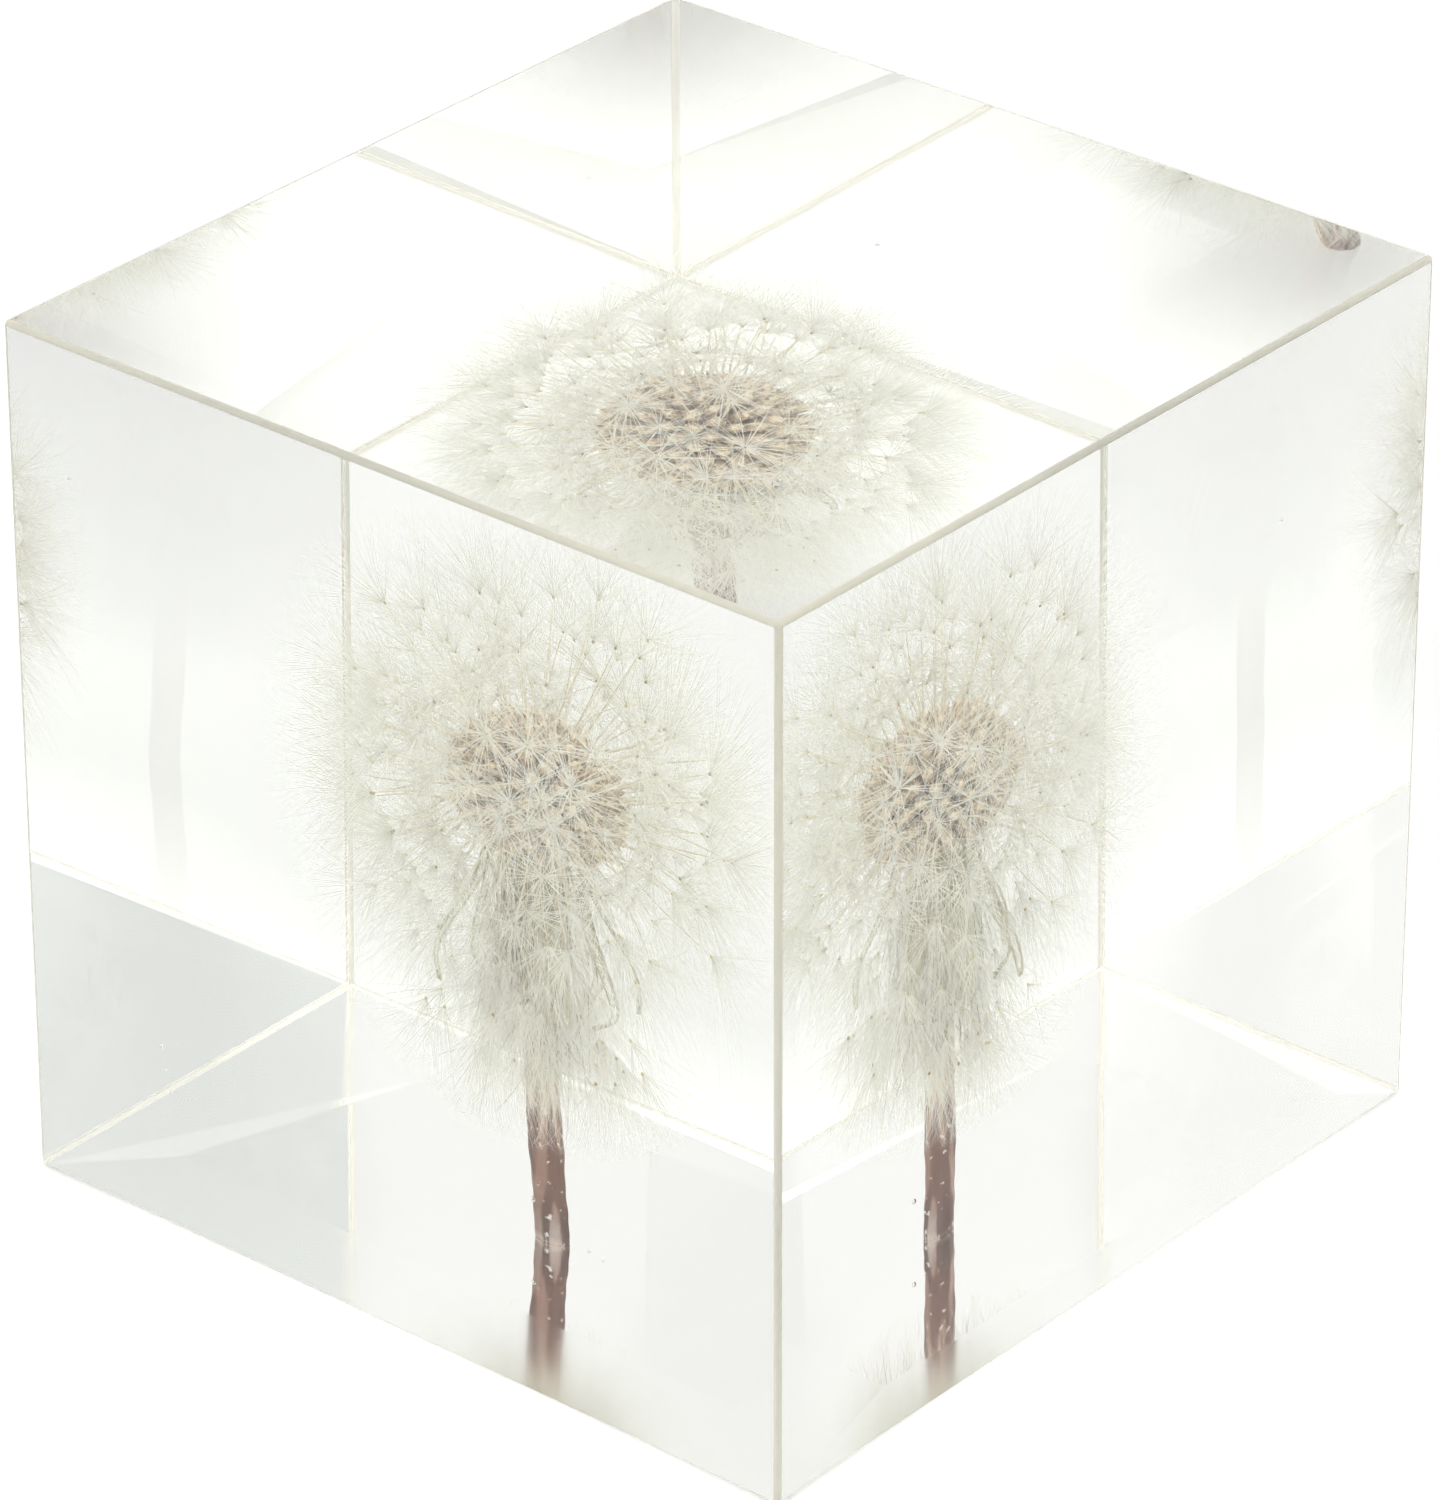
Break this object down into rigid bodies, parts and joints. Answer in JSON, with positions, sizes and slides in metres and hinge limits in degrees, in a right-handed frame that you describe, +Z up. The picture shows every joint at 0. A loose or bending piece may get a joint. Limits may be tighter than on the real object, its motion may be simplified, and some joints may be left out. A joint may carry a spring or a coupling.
{
  "type": "dandelion clock in resin cube",
  "caption": "Clear resin cube with a whole dandelion seed head, its turned-down bracts and a length of stem cast upright inside it.",
  "frame": {"origin": "middle of the cube's base, on the surface that it stands on", "axes": "+Z up along the stem, -Y to the front, +X to the right"},
  "size_m": [0.06, 0.0618, 0.0588],
  "materials": {
    "clear_resin": "clear cast resin, polished, with softly rounded edges",
    "stem_skin": "dried dark red-brown plant stem",
    "seed_husk": "matt brown seeds with paler ochre tips",
    "dry_bract": "papery dried bract, olive and straw",
    "pappus_hair": "fine cream-white hairs"
  },
  "bodies": {
    "root": {"resin_front": "clear_resin", "resin_back": "clear_resin", "stem": "stem_skin", "seed_head": "seed_husk", "pappus_globe": "pappus_hair", "bract_01": "dry_bract", "bract_02": "dry_bract", "bract_03": "dry_bract", "bract_04": "dry_bract", "bract_05": "dry_bract", "bract_06": "dry_bract", "bract_07": "dry_bract", "bract_08": "dry_bract", "bract_09": "dry_bract", "bract_10": "dry_bract", "bract_11": "dry_bract", "bract_12": "dry_bract", "bract_13": "dry_bract", "bract_14": "dry_bract"}
  },
  "joints": []
}
